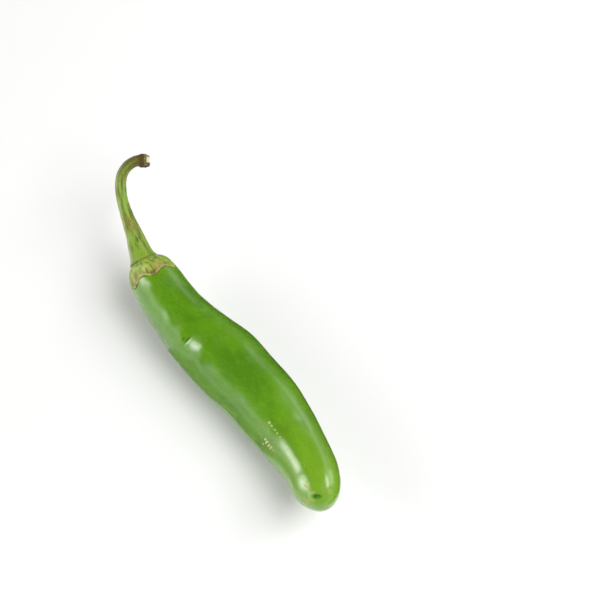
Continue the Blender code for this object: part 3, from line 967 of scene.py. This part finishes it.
def stemTree(material):
    look = stemLook
    group, keys, get, made = newGroup("stemTube", (
        ("Geometry", ("Route",)), ("Int", ("Points", "Around", "Seed")),
        ("Float", ("Ribs", "Rib height", "Twist", "Ridge turn", "Ridge height", "Foot flare",
                   "Wrinkle", "Body rough", "End rough")),
    ))
    rail = {"Curve": get["Route"], "Count": get["Points"]}
    rail = result(group, "GeometryNodeResampleCurve", rail)
    ring = {"Resolution": get["Around"], "Radius": 1.0}
    ring = result(group, "GeometryNodeCurvePrimitiveCircle", ring)
    rail, along = keepFactor(group, rail, "along")
    ring, around = keepFactor(group, ring, "round")
    radius = result(group, "GeometryNodeInputRadius", {})
    tube = {"Curve": rail, "Profile Curve": ring, "Scale": radius, "Fill Caps": True}
    tube = result(group, "GeometryNodeCurveToMesh", tube)
    turn = times(group, around, 2 * math.pi)
    side = maths(group, "COSINE", maths(group, "SUBTRACT", turn, get["Ridge turn"]))
    side = maths(group, "POWER", maths(group, "MAXIMUM", side, 0.0), look["ridgePower"])
    flare = spread(group, along, 0.0, look["flareTo"], get["Foot flare"], 0.0)
    ridge = times(group, side, maths(group, "ADD", flare, get["Ridge height"]))
    turn = maths(group, "ADD", turn, times(group, along, get["Twist"]))
    rib = maths(group, "COSINE", times(group, turn, get["Ribs"]))
    lift = maths(group, "ADD", times(group, rib, get["Rib height"]), ridge)
    place = result(group, "GeometryNodeInputPosition", {})
    noise = result(
        group, "ShaderNodeTexNoise",
        {"Vector": vectorMaths(group, "SCALE", {0: place, "Scale": 1 / mm}), "W": get["Seed"],
         "Scale": look["wrinkleScale"], "Detail": look["wrinkleDetail"]},
        noise_dimensions="4D",
    )
    uneven = times(group, maths(group, "SUBTRACT", noise, 0.5), get["Wrinkle"])
    endRough = spread(group, along, *look["endFrom"], get["Body rough"], get["End rough"])
    footRough = spread(group, along, *look["footFrom"], 0.0, get["End rough"])
    uneven = times(group, uneven, maths(group, "ADD", endRough, footRough))
    lift = times(group, maths(group, "ADD", lift, uneven), mm)
    push = {0: result(group, "GeometryNodeInputNormal", {}), "Scale": lift}
    push = {"Geometry": tube, "Offset": vectorMaths(group, "SCALE", push)}
    stem = result(group, "GeometryNodeSetPosition", push)
    for name, value in (("along", along), ("round", around)):
        stem = result(
            group, "GeometryNodeStoreNamedAttribute",
            {"Geometry": stem, "Name": name, "Value": value}, data_type="FLOAT", domain="POINT",
        )
    finishGroup(group, stem, material, made)
    return group, keys


def makeStem(material):
    look = stemLook
    points, distance = routePoints(look["route"], look["points"])
    share = distance / distance[-1]
    half = smoothThrough(look["halfWidths"], share * look["halfWidths"][-1][0])
    return bakeNodes("stemHook", makeLine("stemRoute", points, half), stemTree(material), {
        "Points": look["points"], "Around": look["around"], "Seed": look["seed"],
        "Ribs": float(look["ribs"]), "Rib height": look["ribHeight"], "Twist": look["twist"],
        "Ridge turn": math.radians(look["ridgeAt"]), "Ridge height": look["ridgeHeight"],
        "Foot flare": look["footFlare"], "Wrinkle": look["wrinkle"],
        "Body rough": look["bodyRough"], "End rough": look["endRough"],
    })


def stemMaterial():
    look = stemLook
    material, tree, shader = newMaterial("stemFibre")
    along = stored(tree, "along")
    turn = times(tree, stored(tree, "round"), 2 * math.pi)
    place = result(tree, "ShaderNodeCombineXYZ", {
        0: times(tree, along, look["straightLength"]), 1: maths(tree, "COSINE", turn),
        2: maths(tree, "SINE", turn),
    })
    values = addNoises(tree, look, place)
    rib = maths(tree, "ADD", turn, times(tree, along, look["twist"]))
    ragged = times(tree, maths(tree, "SUBTRACT", values["speck"], 0.5), look["footRagged"])
    values.update({
        "along": along, "rib": maths(tree, "COSINE", times(tree, rib, look["ribs"])),
        "foot": maths(tree, "ADD", along, ragged),
    })
    for name, middle in look["sides"].items():  # 1 on that side of the stem, -1 on the other
        away = maths(tree, "SUBTRACT", turn, math.radians(middle))
        values[name] = maths(tree, "COSINE", away)
    setSurface(tree, shader, look, values, maskOf(tree, values, [look["roughness"]]))
    return material


stemHook = makeStem(stemMaterial())
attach(stemHook, "root")
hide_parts("stem")
print("stem made")


# lengths in mm, angles in degrees round the pepper and up from the floor
studio = {
    "floorEdges": (-3000.0, -3000.0, 3000.0, 3000.0),  # left, front, right and back
    "floor": {
        "Base Color": (0.68, 0.68, 0.675), "Roughness": 0.8, "Specular IOR Level": 0.1,
        "Emission Color": (1.0, 1.0, 1.0), "Emission Strength": 0.12,
    },
    "sky": (1.0, 1.0, 0.99), "skyStrength": 0.06,
    # soft round windows: place round, height, reach, strength
    "windows": (
        (232.0, 25.0, 14.0, 4.5), (234.0, 8.0, 13.0, 3.4), (259.0, 15.0, 13.0, 1.0),
        (106.0, 18.0, 9.0, 0.9), (84.0, 13.0, 14.0, 1.8), (20.0, 8.0, 30.0, 0.35),
        (330.0, 8.0, 30.0, 0.35),
    ),
    "windowEdges": (1.35, 0.55),  # shares of the reach where the light starts and is full
    # low cards that only reflections see: left, front, right and back edge, height, colour
    "cards": (
        ("cardFar", (-150.0, 14.0, 150.0, 320.0), 0.3, (0.020, 0.035, 0.012)),
        ("cardNear", (-22.0, -60.0, 18.0, -13.5), 0.3, (0.250, 0.270, 0.230)),
    ),
    # name, place of the middle, reach round and up, distance in m, watts, shows in the gloss
    "lamps": (
        ("softboxTop", (38.0, 62.0), (46.0, 44.0), 0.85, 8.8, False),
        ("softboxLeft", (239.0, 17.0), (40.0, 28.0), 0.80, 2.2, False),
        ("softboxBack", (78.0, 41.0), (25.0, 19.0), 0.70, 1.0, True),
    ),
    "camera": {
        "azimuth": 46.686, "elevation": 65.895, "roll": 9.461, "distance": 600.0,
        "aim": (-12.12, 26.325, 8.0), "lens": 132.69, "sensor": 36.0, "nearest": 10.0,
    },
}


def direction(azimuth, height):
    azimuth, height = math.radians(azimuth), math.radians(height)
    level = math.cos(height)
    return (math.cos(azimuth) * level, math.sin(azimuth) * level, math.sin(height))


def makeSheet(name, edges, height, surface):
    left, front, right, back = edges
    corners = ((left, front), (right, front), (right, back), (left, back))
    mesh = bpy.data.meshes.new(name)
    mesh.from_pydata([(x * mm, y * mm, height * mm) for x, y in corners], [], [(0, 1, 2, 3)])
    material, tree, shader = newMaterial(name)
    setInputs(tree, shader, surface)
    mesh.materials.append(material)
    return addObject(name, mesh)


def makeWorld():
    world = bpy.data.worlds.new("studioWorld")
    bpy.context.scene.world = world
    world.use_nodes = True
    tree = world.node_tree
    around = result(tree, "ShaderNodeTexCoord", {}, "Generated")
    strength = studio["skyStrength"]
    for azimuth, height, reach, brightness in studio["windows"]:
        middle = direction(azimuth, height)
        facing = vectorMaths(tree, "DOT_PRODUCT", {0: around, 1: middle}, 1)
        edges = (math.cos(math.radians(reach * share)) for share in studio["windowEdges"])
        window = spread(tree, facing, *edges, 0.0, brightness)
        strength = maths(tree, "ADD", strength, window)
    setInputs(tree, tree.nodes["Background"], {0: studio["sky"], 1: strength})


def makeStudio():
    floor = makeSheet("floorSheet", studio["floorEdges"], 0.0, studio["floor"])
    for name, edges, height, colour in studio["cards"]:
        card = makeSheet(name, edges, height, {"Base Color": colour, "Roughness": 1.0})
        card.visible_camera = card.visible_diffuse = False
        card.visible_shadow = card.visible_transmission = False
    makeWorld()
    for name, middle, reach, distance, watts, inGloss in studio["lamps"]:
        data = bpy.data.lights.new(name, "AREA")
        data.shape = "RECTANGLE"
        data.size, data.size_y = (2 * distance * math.tan(math.radians(r / 2)) for r in reach)
        data.energy = watts
        lamp = addObject(name, data)
        lamp.visible_camera = False
        lamp.visible_glossy = inGloss
        towards = Vector(direction(*middle))
        turn = towards.to_track_quat("Z", "Y").to_matrix().to_4x4()
        lamp.matrix_world = Matrix.Translation(towards * distance) @ turn


def makeCamera():
    look = studio["camera"]
    data = bpy.data.cameras.new("camera")
    data.lens, data.sensor_width = look["lens"], look["sensor"]
    data.clip_start = look["nearest"] * mm
    camera = addObject("camera", data)
    turns = ((look["azimuth"], "Z"), (90.0 - look["elevation"], "X"), (look["roll"], "Z"))
    first, second, third = (Matrix.Rotation(math.radians(a), 4, axis) for a, axis in turns)
    turn = first @ second @ third
    back = turn.to_3x3() @ Vector((0.0, 0.0, 1.0))
    place = (Vector(look["aim"]) + back * look["distance"]) * mm
    camera.matrix_world = Matrix.Translation(place) @ turn
    bpy.context.scene.camera = camera


makeStudio()
makeCamera()
bpy.context.scene.view_settings.view_transform = "Standard"
print("studio made")
